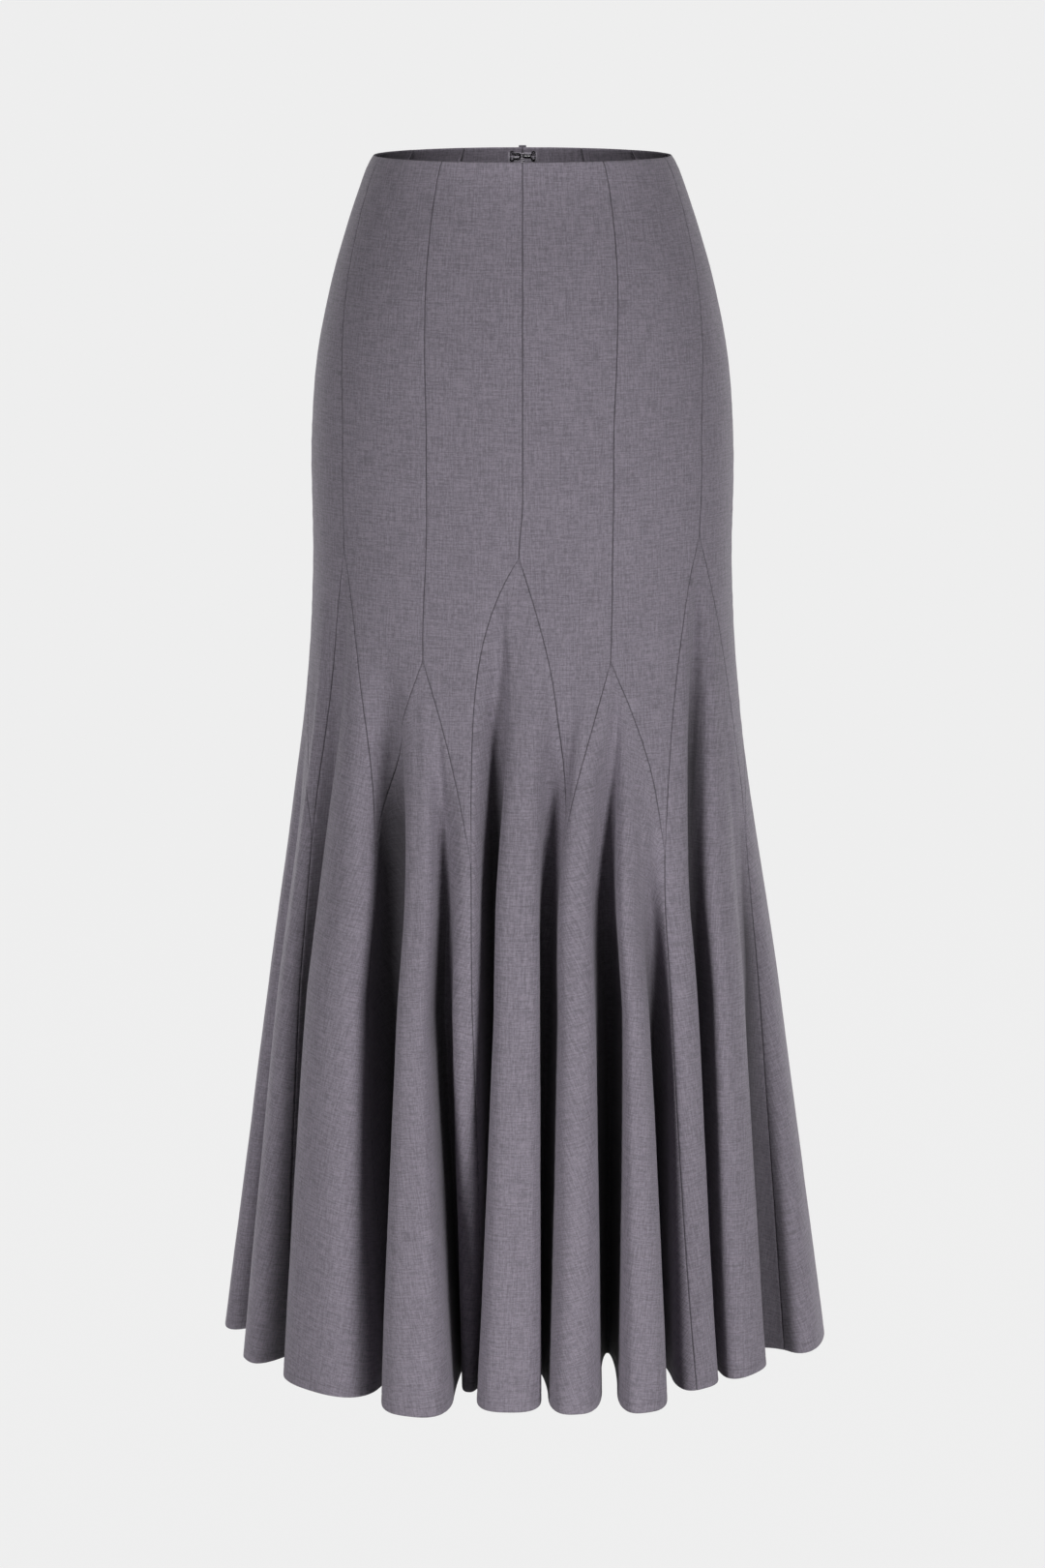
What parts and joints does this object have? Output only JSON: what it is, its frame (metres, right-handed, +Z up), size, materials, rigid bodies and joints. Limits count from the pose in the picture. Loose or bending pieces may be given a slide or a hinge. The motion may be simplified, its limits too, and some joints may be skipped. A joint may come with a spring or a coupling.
{
  "type": "gored trumpet maxi skirt",
  "caption": "long trumpet skirt, worn and hollow: fitted gores to the hip, kite-shaped godets let into their seams and falling in deep flutes to the hem, concealed back zip",
  "frame": {"origin": "centre of the waist opening, in the plane of the waist edge, where the skirt is held on the body", "axes": "+Z up, -Y is the front, +X is to the right of someone who looks at the front"},
  "size_m": [0.505, 0.4184, 0.9787],
  "materials": {
    "suiting_cloth": "matt tropical-weight melange suiting",
    "zip_tape": "woven tape",
    "painted_zip_metal": "satin paint in the cloth's colour",
    "black_wire": "black lacquer"
  },
  "bodies": {
    "skirt": {"gore_front_right": "suiting_cloth", "gore_front_right_outer": "suiting_cloth", "gore_right_front": "suiting_cloth", "gore_right_back": "suiting_cloth", "gore_back_right_outer": "suiting_cloth", "gore_back_right": "suiting_cloth", "gore_back_left": "suiting_cloth", "gore_back_left_outer": "suiting_cloth", "gore_left_back": "suiting_cloth", "gore_left_front": "suiting_cloth", "gore_front_left_outer": "suiting_cloth", "gore_front_left": "suiting_cloth", "godet_front": "suiting_cloth", "godet_front_right": "suiting_cloth", "godet_right_front": "suiting_cloth", "godet_right_side": "suiting_cloth", "godet_right_back": "suiting_cloth", "godet_back_right": "suiting_cloth", "godet_back": "suiting_cloth", "godet_back_left": "suiting_cloth", "godet_left_back": "suiting_cloth", "godet_left_side": "suiting_cloth", "godet_left_front": "suiting_cloth", "godet_front_left": "suiting_cloth", "zip_tape_right": "zip_tape", "zip_tape_left": "zip_tape", "zip_slider": "painted_zip_metal", "hook": "black_wire", "eye": "black_wire"},
    "pull": {"zip_pull": "painted_zip_metal"}
  },
  "joints": [
    {"name": "zip_pull_swing", "type": "hinge", "parent": "skirt", "child": "pull", "pos_m": [0, 0.0931, -0.00329], "axis": [1, 0, 0], "range_deg": [0, 150]}
  ]
}
